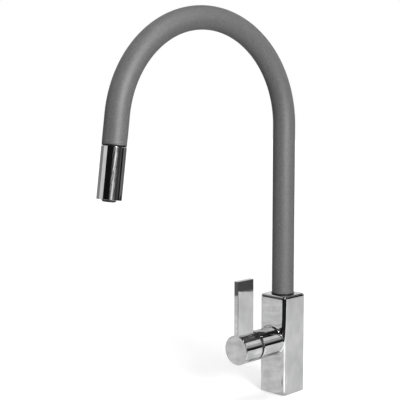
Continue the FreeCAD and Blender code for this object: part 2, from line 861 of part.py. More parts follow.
def build():
    parts["body"] = make_body()
    parts["base_gasket"] = gasket_solid(0)
    parts["hose_guide_bush"] = make_guide_bush()
    parts["spout_bush_lower"] = ring(bush_radius, bush_bore, guide_top, guide_top + bush_length)
    parts["spout_bush_upper"] = ring(bush_radius, bush_bore, column_height - bush_length, column_height)
    parts["glide_ring"] = ring(tube_radius + glide_ring_lip, bush_bore, column_height, tube_foot)
    parts["spout_stop_screw"] = make_stop_screw()

    parts["spout_spigot"] = make_spigot()
    parts["spout_tube"] = bent_tube(tube_radius, tube_bore, tube_foot, dock_flange)
    parts["dock_insert"] = make_dock_insert()

    parts["pull_out_hose"] = bent_tube(hose_radius, hose_radius - hose_wall, 0, hose_tip)
    parts["hose_ferrule"] = make_hose_ferrule()
    parts["hose_washer"] = in_outlet(ring(ferrule_flange_radius, ferrule_bore, washer_foot, ferrule_foot))

    parts["hose_nut"] = make_hose_nut()
    parts["head_shell"] = make_head_shell()
    parts["head_core"] = make_head_core()
    parts["check_valve"] = make_check_valve()
    parts["head_base"] = in_outlet(ring(core_radius, aerator_radius + fixed_gap, base_foot, base_top))
    parts["aerator_seal"] = in_outlet(ring(aerator_radius - fixed_gap, chamber_radius - aerator_wall,
                                           aerator_top, aerator_top + aerator_seal_thickness))
    parts["aerator_housing"] = make_aerator_housing()
    parts["jet_plate"] = make_jet_plate()
    parts["aerator_screen"] = make_aerator_screen()

    parts["cartridge_base"] = make_cartridge_base()
    parts["cartridge_seals"] = make_cartridge_seals()
    parts["cartridge_housing"] = make_cartridge_housing()
    parts["fixed_disc"] = make_fixed_disc()
    parts["moving_disc"] = make_moving_disc()
    parts["disc_carriage"] = make_disc_carriage()
    parts["cartridge_rotor"] = make_rotor()
    parts["stem_pin"] = make_stem_pin()
    parts["cartridge_stem"] = make_stem()
    parts["bonnet_nut"] = make_bonnet_nut()
    parts["dome_ring"] = make_dome_ring()

    parts["handle"] = make_handle()
    parts["handle_screw"] = make_lever_screw()
    parts["handle_plug"] = make_lever_plug()


build()
os.makedirs("parts", exist_ok=True)
for name, shape in parts.items():
    shape.exportStep("parts/" + name + ".step")
    state = "" if shape.isValid() and shape.Volume > 0 else "  not valid"
    print(f"{name}: {len(shape.Solids)} solid, {shape.Volume:.1f} mm3{state}")

hose_length = path_length(0, hose_tip)
hose_section = math.pi * (hose_radius ** 2 - (hose_radius - hose_wall) ** 2)
print(f"hose: length {hose_length:.1f}, bend radius {bend_radius:.1f}")
print(f"hose: volume {parts['pull_out_hose'].Volume:.1f}, section x length {hose_section * hose_length:.1f}")
print(f"pivot at {pivot_reach:.3f}, disc travel {disc_travel:.4f}, housing front at {housing_reach:.3f}")
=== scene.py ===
import json
import math

import bpy
import numpy as np
from mathutils import Matrix, Vector


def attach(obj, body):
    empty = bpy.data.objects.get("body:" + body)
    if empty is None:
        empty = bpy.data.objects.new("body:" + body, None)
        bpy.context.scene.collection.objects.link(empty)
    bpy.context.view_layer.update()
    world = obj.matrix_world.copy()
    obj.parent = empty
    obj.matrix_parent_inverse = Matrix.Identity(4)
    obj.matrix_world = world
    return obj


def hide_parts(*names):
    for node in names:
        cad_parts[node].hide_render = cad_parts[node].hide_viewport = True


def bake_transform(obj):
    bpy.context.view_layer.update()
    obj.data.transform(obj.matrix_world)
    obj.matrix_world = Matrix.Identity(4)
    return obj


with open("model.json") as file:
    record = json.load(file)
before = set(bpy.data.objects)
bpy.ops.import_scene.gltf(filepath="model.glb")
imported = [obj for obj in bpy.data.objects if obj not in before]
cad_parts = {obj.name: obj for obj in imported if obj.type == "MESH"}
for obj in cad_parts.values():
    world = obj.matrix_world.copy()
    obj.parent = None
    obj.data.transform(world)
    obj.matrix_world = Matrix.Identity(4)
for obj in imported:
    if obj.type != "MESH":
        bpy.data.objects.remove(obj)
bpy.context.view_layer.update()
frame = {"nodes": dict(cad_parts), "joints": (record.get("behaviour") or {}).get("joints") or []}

# Camera.
# It stands a little over a metre from the tap, in front and to the right, just below the bend's height,
# and looks down by about six degrees. Its lens is 85 mm on a 36 mm frame, without shift.
camera_place = Vector((0.69704, -0.84999, 0.33866))
camera_heading = math.radians(134.43)
camera_pitch = math.radians(-5.85)
camera_roll = math.radians(-0.05)
lens_length = 85.03
film_width = 36.0

camera = bpy.data.objects.new("camera", bpy.data.cameras.new("camera"))
bpy.context.scene.collection.objects.link(camera)
looking = Vector((math.cos(camera_heading) * math.cos(camera_pitch),
                  math.sin(camera_heading) * math.cos(camera_pitch),
                  math.sin(camera_pitch)))
rightwards = looking.cross(Vector((0, 0, 1))).normalized()
upwards = rightwards.cross(looking)
rolled_right = rightwards * math.cos(camera_roll) + upwards * math.sin(camera_roll)
rolled_up = upwards * math.cos(camera_roll) - rightwards * math.sin(camera_roll)
axes = Matrix((rolled_right, rolled_up, -looking)).transposed()
camera.matrix_world = Matrix.Translation(camera_place) @ axes.to_4x4()
camera.data.lens = lens_length
camera.data.sensor_width = film_width
bpy.context.scene.camera = camera

# Column with its valve barrel.
# One brass casting, polished and chrome plated: a square column whose front grows into a round barrel.
# The plate is mirror smooth, with the faint waves that polishing leaves in it.
plate_bright = (0.67, 0.67, 0.675, 1.0)
# The dimmer plate of the smears: partly water marks, partly a painted reflection of the mottled shade on the
# paper.
plate_smeared_painted_reflection = (0.51, 0.51, 0.513, 1.0)
plate_roughness = (0.05, 0.018)
smear_and_painted_reflection_size = 0.020
smear_and_painted_reflection_stretch = (1.0, 1.0, 0.8)
polish_wave_length = 0.030
polish_wave_height = 0.00012


def finish(name, colour, metal=0.0, roughness=0.5, more=None):
    """A new material with one Principled shader; values that are the same all over sit on its sockets."""
    made = bpy.data.materials.new(name)
    made.use_nodes = True
    shader = made.node_tree.nodes["Principled BSDF"]
    shader.inputs["Base Color"].default_value = colour
    shader.inputs["Metallic"].default_value = metal
    shader.inputs["Roughness"].default_value = roughness
    for socket, value in (more or {}).items():
        shader.inputs[socket].default_value = value
    return made


def add(made, kind, feeds=None, **settings):
    """Adds a node to a material. Feeds are numbers, colours or other nodes' outputs, by socket."""
    new = made.node_tree.nodes.new(kind)
    for key, value in settings.items():
        setattr(new, key, value)
    for key, value in (feeds or {}).items():
        if isinstance(value, bpy.types.NodeSocket):
            made.node_tree.links.new(value, new.inputs[key])
        else:
            new.inputs[key].default_value = value
    return new


def cloud(made, grain, detail=2.0, stretch=(1.0, 1.0, 1.0)):
    """Soft noise with features of the given size in metres, fixed to the object."""
    place = add(made, "ShaderNodeTexCoord").outputs["Object"]
    place = add(made, "ShaderNodeMapping", {"Vector": place, "Scale": stretch}).outputs["Vector"]
    feeds = {"Vector": place, "Scale": 1 / grain, "Detail": detail}
    return add(made, "ShaderNodeTexNoise", feeds).outputs["Fac"]


def spread(made, value, low, high, start=0.3, end=0.7):
    """The value's range from start to end, carried over to low to high."""
    feeds = {"Value": value, "From Min": start, "From Max": end, "To Min": low, "To Max": high}
    return add(made, "ShaderNodeMapRange", feeds).outputs["Result"]


# The colour mixer's sockets go by number, because each of their names stands for several.
mix_share, mix_first, mix_second, mix_result = 0, 6, 7, 2


def tint(made, share, first, second):
    """First colour where the share is 0, second where it is 1. Either may be another node's output."""
    feeds = {mix_share: share, mix_first: first, mix_second: second}
    return add(made, "ShaderNodeMix", feeds, data_type="RGBA").outputs[mix_result]


def feed(made, socket, output):
    """Links an output to a socket of the material's shader."""
    made.node_tree.links.new(output, made.node_tree.nodes["Principled BSDF"].inputs[socket])


def relief(made, *layers):
    """Bump in layers, the coarsest first; each is a height field and its height in metres."""
    normal = None
    for height, size in layers:
        feeds = {"Height": height, "Distance": size}
        if normal is not None:
            feeds["Normal"] = normal
        normal = add(made, "ShaderNodeBump", feeds).outputs["Normal"]
    feed(made, "Normal", normal)


def dress(made, *nodes):
    """Gives CAD nodes a material in place of the plain one they came with."""
    for name in nodes:
        mesh = frame["nodes"][name].data
        mesh.materials.clear()
        mesh.materials.append(made)


chrome = finish("chrome_plate", plate_bright, metal=1.0)
# Smears and painted reflection: random patches where the plate is dimmer and rougher. They stand partly for
# water marks on the plate, partly for a painted reflection of the mottled shade on the paper below.
smears_and_painted_reflection = cloud(chrome, smear_and_painted_reflection_size, detail=3.0, stretch=smear_and_painted_reflection_stretch)
feed(chrome, "Base Color", tint(chrome, spread(chrome, smears_and_painted_reflection, 0.0, 1.0), plate_smeared_painted_reflection, plate_bright))
feed(chrome, "Roughness", spread(chrome, smears_and_painted_reflection, *plate_roughness))
relief(chrome, (cloud(chrome, polish_wave_length, detail=1.0), polish_wave_height))
dress(chrome, "body")

# Rubber rings.
# A square ring in a groove under the column seals it on the worktop, and round ones seal the cartridge,
# the outlet insert and the hose. Moulded, with a dull skin that holds a little dust.
rubber_black = (0.03, 0.03, 0.032, 1.0)
rubber_dusty = (0.11, 0.11, 0.11, 1.0)
rubber_roughness = (0.6, 0.85)
most_dust = 0.6
dust_patch = 0.0016
rubber_skin = 0.0004
rubber_skin_height = 0.00002

rubber = finish("black_rubber", rubber_black, roughness=0.7)
dust = spread(rubber, cloud(rubber, dust_patch, detail=5.0), 0.0, most_dust, start=0.5, end=0.8)
feed(rubber, "Base Color", tint(rubber, dust, rubber_black, rubber_dusty))
feed(rubber, "Roughness", spread(rubber, dust, *rubber_roughness, start=0.0, end=most_dust))
relief(rubber, (cloud(rubber, rubber_skin, detail=3.0), rubber_skin_height))
dress(rubber, "base_gasket", "cartridge_seals", "aerator_seal", "hose_washer")

# Plain bearings of the spout.
# Two white nylon bushes and the hose's guide are pressed into the column, and a black glide ring
# carries the tube on its top. The sleeve in the tube's end is of the same black nylon.


def moulded(name, first, second, roughness, patch, skin, skin_height, detail=3.0,
            stretch=(1.0, 1.0, 1.0), more=None):
    """A moulding that drifts between two colours and two roughnesses in patches, under a fine skin.

    The patch and the skin are the sizes of their grains. The plain colour is the middle of the two.
    """
    middle = [(low + high) / 2 for low, high in zip(first, second)]
    made = finish(name, middle, roughness=sum(roughness) / 2, more=more)
    patches = cloud(made, patch, detail=detail, stretch=stretch)
    feed(made, "Base Color", tint(made, patches, first, second))
    feed(made, "Roughness", spread(made, patches, *roughness))
    relief(made, (cloud(made, skin), skin_height))
    return made


white_nylon = moulded("white_nylon", (0.74, 0.74, 0.71, 1.0), (0.84, 0.84, 0.82, 1.0),
                      roughness=(0.38, 0.52), patch=0.006, stretch=(1.0, 1.0, 0.3),
                      skin=0.0005, skin_height=0.000012)
dress(white_nylon, "hose_guide_bush", "spout_bush_lower", "spout_bush_upper")

black_nylon = moulded("black_nylon", (0.006, 0.006, 0.0064, 1.0), (0.016, 0.016, 0.0165, 1.0),
                      roughness=(0.42, 0.58), patch=0.003, detail=4.0,
                      skin=0.0004, skin_height=0.00001, more={"Specular IOR Level": 0.3})
dress(black_nylon, "glide_ring", "dock_insert")

# Turned brass.
# The spigot that the tube stands on, and the nut over the cartridge, are turned from bar,
# and keep the cutter's fine rings. The rings run about each piece's own axis.
brass_look = {"colour": (0.78, 0.60, 0.30, 1.0), "dull": (0.62, 0.46, 0.22, 1.0), "roughness": (0.18, 0.34)}
tool_rings = 0.00022
tool_ring_height = 0.000008
handled_patch = 0.007
wave_pace = 20


def turned_metal(name, about, colour, dull, roughness):
    """Metal with the cutter's rings across the given axis, and a duller shade where it has been handled.

    The wave's height at the distance x is sin(pace scale x), so one ring is 2 pi tool_rings wide.
    """
    made = finish(name, colour, metal=1.0)
    place = add(made, "ShaderNodeTexCoord").outputs["Object"]
    feeds = {"Vector": place, "Scale": 1 / tool_rings / wave_pace, "Distortion": 0.4, "Detail": 1.0}
    rings = add(made, "ShaderNodeTexWave", feeds, wave_type="BANDS", bands_direction=about).outputs["Fac"]
    handled = cloud(made, handled_patch, detail=4.0)
    feed(made, "Base Color", tint(made, handled, colour, dull))
    feed(made, "Roughness", spread(made, handled, *roughness))
    relief(made, (rings, tool_ring_height))
    return made


dress(turned_metal("brass_turned_upright", "Z", **brass_look), "spout_spigot")
dress(turned_metal("brass_turned_level", "Y", **brass_look), "bonnet_nut")

# Stainless steel screws and pins.
# The stop screw at the column's back, the lever's grub screw, the stem and the pin that it tilts on,
# all turned and lightly tumbled.
steel_look = {"colour": (0.60, 0.60, 0.61, 1.0), "dull": (0.48, 0.48, 0.49, 1.0), "roughness": (0.2, 0.36)}

steel_upright = turned_metal("steel_turned_upright", "Z", **steel_look)
dress(turned_metal("steel_turned_level", "Y", **steel_look), "spout_stop_screw", "cartridge_stem")
dress(steel_upright, "handle_screw")
dress(turned_metal("steel_turned_across", "X", **steel_look), "stem_pin")

# Spout tube.
# A steel tube bent into a gooseneck and covered with a matte, stone-grey coat full of fine grains.
# Its wall is one closed section carried along the middle line: a rise, an arc and a short straight end.
tube_outside = 0.0128
tube_inside = 0.0113
tube_edge_round = 0.0005
edge_steps = 5
tube_foot = 0.1173
tube_mouth_short = 0.0010
rise_top = 0.3128
bend_radius = 0.1166
bend_angle = math.radians(172.7)
straight_end = 0.0317
swing = math.radians(-6.35)
line_length = rise_top - tube_foot + bend_radius * bend_angle + straight_end


def gooseneck(travel):
    """Places on the spout's middle line, and the unit vectors across it, at distances from its foot.

    The line rises upright, goes round an arc about a level axis behind the outlet, and ends straight.
    In the plane of the bend a point is (out, up): (0, z) on the rise, (R (1 - cos a), top + R sin a) on
    the arc at angle a, and onwards along the last direction on the end. The plane is then swung about
    the upright axis.
    """
    rise = rise_top - tube_foot
    angle = np.clip((travel - rise) / bend_radius, 0, bend_angle)
    low = np.minimum(travel, rise)
    past = np.maximum(travel - rise - bend_radius * bend_angle, 0)
    out = bend_radius * (1 - np.cos(angle)) + past * math.sin(bend_angle)
    up = tube_foot + low + bend_radius * np.sin(angle) + past * math.cos(bend_angle)
    front = np.array([math.sin(swing), -math.cos(swing), 0.0])
    side = np.array([math.cos(swing), math.sin(swing), 0.0])
    upright = np.array([0.0, 0.0, 1.0])
    middle = out[:, None] * front + up[:, None] * upright
    away = np.cos(angle)[:, None] * front - np.sin(angle)[:, None] * upright
    return middle, away, np.broadcast_to(side, middle.shape)


def cells(number):
    """The four corners of each cell in a grid of vertex numbers."""
    corners = [number[:-1, :-1], number[:-1, 1:], number[1:, 1:], number[1:, :-1]]
    return np.stack(corners, axis=-1).reshape(-1, 4)


def ring_mesh(name, place):
    """A smooth mesh from a grid of places, closed round each row and from the last row to the first."""
    rows, around = place.shape[:2]
    number = np.arange(rows * around).reshape(rows, around)
    quads = cells(np.pad(number, 1, mode="wrap")[1:, 1:])
    mesh = bpy.data.meshes.new(name)
    mesh.vertices.add(rows * around)
    mesh.vertices.foreach_set("co", place.astype(np.float32).ravel())
    mesh.loops.add(quads.size)
    mesh.loops.foreach_set("vertex_index", quads.astype(np.int32).ravel())
    mesh.polygons.add(len(quads))
    mesh.polygons.foreach_set("loop_start", np.arange(0, quads.size, 4, dtype=np.int32))
    mesh.update(calc_edges=True)
    mesh.validate()
    mesh.shade_smooth()
    made = bpy.data.objects.new(name, mesh)
    bpy.context.scene.collection.objects.link(made)
    return made


def carried(name, travel, radius, around):
    """A closed wall section carried round the middle line, as a mesh on a closed grid.

    Row i lies on a circle about the middle line at travel[i]; its radius may change round the circle.
    The place is middle + radius (cos t away + sin t side), and the last row joins the first.
    """
    middle, away, side = gooseneck(travel)
    turn = np.linspace(0, 2 * math.pi, around, endpoint=False)[:, None]
    spoke = np.cos(turn) * away[:, None] + np.sin(turn) * side[:, None]
    radius = np.broadcast_to(np.reshape(radius, (len(travel), -1)), (len(travel), around))
    return ring_mesh(name, middle[:, None] + radius[:, :, None] * spoke)


def wall_section(start, end, outside, inside, edge, outer_steps, inner_steps):
    """Travel and radius round a tube's wall: along the outside, round the end, back inside and round."""
    bow = np.linspace(0, math.pi / 2, edge_steps)
    quarter = (edge * np.sin(bow), edge * (1 - np.cos(bow)))
    travel = np.concatenate([
        np.linspace(start + edge, end - edge, outer_steps)[:-1],
        end - edge + quarter[0],
        end - quarter[1],
        np.linspace(end - edge, start + edge, inner_steps)[1:-1],
        start + edge - quarter[0],
        start + quarter[1][:-1],
    ])
    radius = np.concatenate([
        np.full(outer_steps - 1, outside),
        outside - quarter[1],
        inside + edge - quarter[0],
        np.full(inner_steps - 2, inside),
        inside + quarter[1],
        outside - edge + quarter[0][:-1],
    ])
    return travel, radius


tube_travel, tube_radius = wall_section(0.0, line_length - tube_mouth_short, tube_outside, tube_inside,
                                        tube_edge_round, outer_steps=320, inner_steps=120)
tube = carried("coated_spout_tube", tube_travel, tube_radius, around=96)

coat_dark = (0.095, 0.095, 0.095, 1.0)
coat_light = (0.135, 0.135, 0.135, 1.0)
coat_fleck = (0.22, 0.22, 0.22, 1.0)
coat_roughness = (0.48, 0.6)
coat_patch = 0.0022
fleck_size = 0.0008
fleck_height = 0.00005
coat_wave_length = 0.004
coat_wave_height = 0.00006

stone_coat = finish("stone_grey_coat", coat_light, more={"IOR": 1.5, "Specular IOR Level": 0.75})
grain = add(stone_coat, "ShaderNodeTexVoronoi",
            {"Vector": add(stone_coat, "ShaderNodeTexCoord").outputs["Object"], "Scale": 1 / fleck_size})
fleck = add(stone_coat, "ShaderNodeSeparateColor", {"Color": grain.outputs["Color"]}).outputs["Red"]
base = tint(stone_coat, cloud(stone_coat, coat_patch, detail=4.0), coat_dark, coat_light)
pale = spread(stone_coat, fleck, 0.0, 0.5, start=0.72, end=1.0)
feed(stone_coat, "Base Color", tint(stone_coat, pale, base, coat_fleck))
feed(stone_coat, "Roughness", spread(stone_coat, fleck, *coat_roughness, start=0.0, end=1.0))
relief(stone_coat, (cloud(stone_coat, coat_wave_length), coat_wave_height),
       (grain.outputs["Distance"], fleck_height))
tube.data.materials.append(stone_coat)
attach(tube, "spout")
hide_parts("spout_tube")

# Pull-out hose.
# A rubber hose in a grey nylon braid, down the tube and through the column. It is made in two lengths, as
# only the last one moves with the head, and there the rows are packed so that it is even when drawn out.
hose_outside = 0.0065
hose_inside = 0.0040
hose_tip_short = 0.01799
pull_out = 0.220
stretch_top = 0.0615
stretch_foot = 0.0315
braid_strands = 14
braid_height = 0.00022
braid_step = 0.0030
braid_around = 112
plain_rows = 130
drawn_rows = 460
last_rows = 14
rows_past_joint = 3
bore_every = 4
fine_steps = 40001


def smooth(share):
    """The frame's own easing from 0 to 1."""
    return share * share * (3 - 2 * share)


above_mouth = np.linspace(stretch_top, stretch_foot, fine_steps)
share = (stretch_top - above_mouth) / (stretch_top - stretch_foot)
drawn = stretch_top - above_mouth + pull_out * smooth(share)
even = np.linspace(0, drawn[-1], drawn_rows)
near = np.interp(even, drawn, above_mouth)
bend_part = np.arcsin(np.clip((near - straight_end) / bend_radius, 0, 1))
stretch_travel = np.where(near > straight_end, line_length - straight_end - bend_radius * bend_part,
                          line_length - near)
plain_travel = np.linspace(-tube_foot, stretch_travel[0], plain_rows)[:-1]
last_travel = np.linspace(stretch_travel[-1], line_length - hose_tip_short, last_rows)[1:]
hose_travel = np.concatenate([plain_travel, stretch_travel, last_travel])
hose_length = np.concatenate([plain_travel - plain_travel[-1], even,
                              even[-1] + last_travel - stretch_travel[-1]])

braid_shadow = (0.04, 0.04, 0.042, 1.0)
braid_light = (0.36, 0.36, 0.37, 1.0)
braid_roughness = (0.42, 0.66)
strand_patch = 0.0006
strand_skin = 0.0003
strand_skin_height = 0.00002

braid = finish("grey_nylon_braid", braid_light)
# Painted shade: the braid is coloured braid_shadow where its strands dip low and braid_light on their tops.
height = add(braid, "ShaderNodeAttribute", attribute_name="strand").outputs["Fac"]
feed(braid, "Base Color", tint(braid, spread(braid, height, 0.0, 1.0, start=0.1, end=0.9),
                               braid_shadow, braid_light))
feed(braid, "Roughness", spread(braid, cloud(braid, strand_patch, detail=3.0), *braid_roughness))
relief(braid, (cloud(braid, strand_skin, detail=3.0), strand_skin_height))


def hose_piece(name, first, last):
    """A closed length of the hose between two of its rows: the braid outside, the bore inside.

    At the share t of a turn and the length s, a strand stands sin(pi (n t + s / step) mod pi) high, or
    with - s for the other hand. The hand on top changes from one crossing to the next.
    """
    turn = np.linspace(0, 1, braid_around, endpoint=False)[None]
    travel = hose_travel[first:last]
    length = hose_length[first:last, None] / braid_step
    left_hand = braid_strands * turn + length
    right_hand = braid_strands * turn - length
    left_on_top = (np.floor(left_hand) + np.floor(right_hand)) % 2 == 0
    strand = np.sin(math.pi * np.where(left_on_top, left_hand, right_hand) % math.pi)
    bore = np.unique(np.append(travel[::bore_every], travel[-1]))[::-1]
    piece = carried(name, np.concatenate([travel, bore]),
                    np.vstack([hose_outside - braid_height + braid_height * strand,
                               np.full((len(bore), braid_around), hose_inside)]), around=braid_around)
    strand_height = piece.data.attributes.new("strand", "FLOAT", "POINT")
    strand_height.data.foreach_set("value", np.concatenate(
        [strand.ravel(), np.zeros(len(bore) * braid_around)]).astype(np.float32))
    piece.data.materials.append(braid)
    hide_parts("pull_out_hose")
    return piece


# The length that stays in the stem and the bend, and the length above the head, which is drawn out.
joint_row = len(plain_travel) - rows_past_joint
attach(hose_piece("braided_hose_upper", 0, joint_row + 1), "spout")
drawn_hose = hose_piece("braided_hose_drawn", joint_row, len(hose_travel))
head_turn = next(joint for joint in frame["joints"] if joint["name"] == "head_turn")
mouth_place = np.array(head_turn["pos_m"])
mouth_down = np.array(head_turn["axis"])
mouth_down = mouth_down / np.linalg.norm(mouth_down)
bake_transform(drawn_hose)

# Hose end.
# A steel ferrule crimped on the hose, with five rings pressed into its sleeve. Its flange swivels in the
# conical nut. The section is turned about the outlet's axis, with heights above the tube's mouth.
ferrule_bore = 0.0030
flange_foot = 0.0108
flange_top = 0.0123
flange_outside = 0.0066
flange_edge = 0.0002
flange_foot_edge = 0.0003
neck_outside = 0.0052
neck_top = 0.0169
shoulder_foot = 0.0170
shoulder_outside = 0.0070
sleeve_foot = 0.0173
sleeve_top = 0.0303
sleeve_outside = 0.0074
sleeve_inside = 0.00655
sleeve_rows = 66
lip_outside = 0.0072
lip_top = 0.0308
crimp_count = 5
crimp_depth = 0.00035
nipple_foot = 0.0180
nipple_top = 0.0287
nipple_outside = 0.00395
ferrule_sharp = math.radians(35)


def outlet_turned(name, section, around=128):
    """A closed section of (radius, height) corners turned about the outlet's axis.

    The place is mouth + height up + radius (cos t side + sin t across), with height above the tube's mouth.
    """
    radius, height = np.array(section, float).T
    side = np.array([math.cos(swing), math.sin(swing), 0.0])
    across = np.cross(-mouth_down, side)
    turn = np.linspace(0, 2 * math.pi, around, endpoint=False)
    spoke = np.cos(turn)[:, None] * side + np.sin(turn)[:, None] * across
    place = mouth_place - height[:, None, None] * mouth_down + radius[:, None, None] * spoke[None]
    return ring_mesh(name, place)


flange = [(ferrule_bore, flange_foot), (flange_outside - flange_foot_edge, flange_foot),
          (flange_outside, flange_foot + flange_edge), (flange_outside, flange_top - flange_edge),
          (flange_outside - flange_edge, flange_top), (neck_outside, flange_top),
          (neck_outside, neck_top), (shoulder_outside, shoulder_foot)]
sleeve_heights = np.linspace(sleeve_foot, sleeve_top, sleeve_rows)
crimp_turn = 2 * math.pi * crimp_count * (sleeve_heights - sleeve_foot) / (sleeve_top - sleeve_foot)
crimp_wave = 0.5 - 0.5 * np.cos(crimp_turn)
sleeve = np.column_stack([sleeve_outside - crimp_depth * crimp_wave ** 2, sleeve_heights])
throat = [(lip_outside, lip_top), (sleeve_inside, lip_top), (sleeve_inside, nipple_foot),
          (nipple_outside, nipple_foot), (nipple_outside, nipple_top), (ferrule_bore, nipple_top)]
ferrule = outlet_turned("crimped_ferrule", np.vstack([flange, sleeve, throat]))
ferrule.data.set_sharp_from_angle(angle=ferrule_sharp)
ferrule.data.materials.append(steel_upright)
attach(ferrule, "hose_end")
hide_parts("hose_ferrule")

# Spray head.
# A chromed sleeve with a roof, clamped to a plastic waterway by the conical nut that docks in the tube.
# A flat chromed ring closes it below, round the outlet insert. A white check valve sits in the waterway.
dress(chrome, "head_shell", "hose_nut", "head_base")
dress(white_nylon, "check_valve")

dark_plastic = moulded("dark_moulded_plastic", (0.05, 0.05, 0.054, 1.0), (0.085, 0.085, 0.09, 1.0),
                       roughness=(0.36, 0.54), patch=0.004, detail=4.0,
                       skin=0.0005, skin_height=0.000012)
dress(dark_plastic, "head_core", "jet_plate", "aerator_screen")

# Outlet insert.
# A thin sleeve of the same dark plastic, with a domed lip, stands a little proud of the head, round the jet
# plate and its honeycomb screen.
dress(dark_plastic, "aerator_housing")

# Valve cartridge.
# Two lapped ceramic discs between plastic mouldings: a pale foot and shell, and a darker rotor and carriage
# that the lever's stem turns and slides.
ceramic = moulded("lapped_ceramic", (0.76, 0.75, 0.72, 1.0), (0.84, 0.83, 0.80, 1.0),
                  roughness=(0.16, 0.34), patch=0.0012, detail=5.0, skin=0.0003, skin_height=0.000003)
dress(ceramic, "fixed_disc", "moving_disc")

shell_plastic = moulded("pale_moulded_plastic", (0.50, 0.51, 0.53, 1.0), (0.60, 0.61, 0.63, 1.0),
                        roughness=(0.38, 0.52), patch=0.005, skin=0.0005, skin_height=0.00001)
dress(shell_plastic, "cartridge_base", "cartridge_housing")

rotor_plastic = moulded("slate_moulded_plastic", (0.15, 0.17, 0.21, 1.0), (0.22, 0.24, 0.28, 1.0),
                        roughness=(0.36, 0.5), patch=0.005, skin=0.0005, skin_height=0.00001)
dress(rotor_plastic, "cartridge_rotor", "disc_carriage")

# Dome ring and lever.
# A black nylon ring, part of a ball, closes the barrel's front. The lever's round chromed cap tilts over it,
# with a flat bar standing on the cap. A dark plug covers the grub screw under the cap.
dress(black_nylon, "dome_ring")
dress(chrome, "handle")
dress(dark_plastic, "handle_plug")

# Worktop.
# A plain white top. Close to the tap the camera sees its soft shadow, and further off the top is lifted
# until it is as white as the backdrop.
worktop_reach = 6.0
worktop_low = -0.0003
worktop_grey = (0.70, 0.70, 0.70, 1.0)
near_lift = 0.36
far_lift = 0.62
lift_start = 0.35
lift_end = 1.6


def stage_piece(name, corners, faces, made):
    """A flat or folded piece of the studio, which isn't part of the tap."""
    mesh = bpy.data.meshes.new(name)
    mesh.from_pydata([tuple(corner) for corner in corners], [], [tuple(face) for face in faces])
    mesh.update()
    mesh.materials.append(made)
    piece = bpy.data.objects.new(name, mesh)
    bpy.context.scene.collection.objects.link(piece)
    return piece


worktop_white = finish("worktop_white", worktop_grey, roughness=0.9,
                       more={"Specular IOR Level": 0.0, "Emission Color": (1.0, 1.0, 1.0, 1.0)})
seen = add(worktop_white, "ShaderNodeLightPath").outputs["Is Camera Ray"]
place = add(worktop_white, "ShaderNodeTexCoord").outputs["Object"]
away = add(worktop_white, "ShaderNodeVectorMath", {0: place}, operation="LENGTH").outputs["Value"]
lift = spread(worktop_white, away, near_lift, far_lift, start=lift_start, end=lift_end)
seen_lift = add(worktop_white, "ShaderNodeMath", {0: seen, 1: lift}, operation="MULTIPLY").outputs[0]
feed(worktop_white, "Emission Strength", seen_lift)
worktop_corners = [(x * worktop_reach, y * worktop_reach, worktop_low)
                   for x, y in ((-1, -1), (1, -1), (1, 1), (-1, 1))]
worktop = stage_piece("worktop", worktop_corners, [(0, 1, 2, 3)], worktop_white)
worktop.visible_diffuse = False

# Studio walls.
# Chrome shows only what stands round it. Cards on arcs about the tap, which only reflections see, are its
# dark room, grey corners and light between two curtains. Angles go from the camera's side to the right.
camera_side = math.atan2(camera_place.x, -camera_place.y)
wall_distance = 1.4
wall_columns = 25
folded_rows = 1500
wall_patch = (0.4, 0.011)
left_folds = ((1.0, 290, 1.1), (0.8, 620, 1.3), (0.3, 90, 0.0))
right_folds = ((1.0, 353, 2.9), (0.8, 540, 0.2), (0.3, 100, 2.0))


def card_finish(name, level, uneven, patch):
    """Plain light of one level, or in patches of a width and height that differ from it by a share."""
    made = bpy.data.materials.new(name)
    made.use_nodes = True
    made.node_tree.nodes.clear()
    if uneven:
        patch_wide, patch_high = patch
        flatness = patch_high / patch_wide
        patches = cloud(made, patch_high, stretch=(flatness, flatness, 1.0))
        level = spread(made, patches, level * (1 - uneven), level * (1 + uneven), start=0.36, end=0.64)
    glow = add(made, "ShaderNodeEmission", {"Color": (1.0, 1.0, 1.0, 1.0), "Strength": level})
    add(made, "ShaderNodeOutputMaterial", {"Surface": glow.outputs["Emission"]})
    return made


def card(name, corners, faces, level, uneven=0.0, patch=None):
    """A piece of the studio that gives off light of its own and shows to mirror rays alone."""
    piece = stage_piece(name, corners, faces, card_finish(name + "_finish", level, uneven, patch))
    piece.visible_camera = False
    piece.visible_diffuse = False
    piece.visible_transmission = False
    piece.visible_shadow = False


def round_place(angle, distance, height):
    """Places at angles about the tap, measured from the camera's side."""
    turn = camera_side + np.radians(angle)
    return np.stack([distance * np.sin(turn), -distance * np.cos(turn), height + 0 * turn], axis=-1)


def folded(height, folds):
    """How far a curtain's edge stands out at a height: the sum of share sin(pace height + start)."""
    return sum(share * np.sin(pace * height + start) for share, pace, start in folds)


def wall_card(name, left, right, foot, top, level, distance=wall_distance, waver=0.0, uneven=0.0):
    """An upright card on an arc about the tap, between two angles in degrees and two heights.

    Its upright edges may waver, as a curtain's do: each edge's angle is its own plus waver times its folds.
    """
    rows = folded_rows if waver else 2
    height = np.linspace(foot, top, rows)[:, None]
    share = np.linspace(0, 1, wall_columns)
    left_edge = left + waver * folded(height, left_folds)
    right_edge = right + waver * folded(height, right_folds)
    place = round_place(left_edge * (1 - share) + right_edge * share, distance, height)
    number = np.arange(rows * wall_columns).reshape(rows, wall_columns)
    card(name, place.reshape(-1, 3), cells(number), level, uneven, wall_patch)


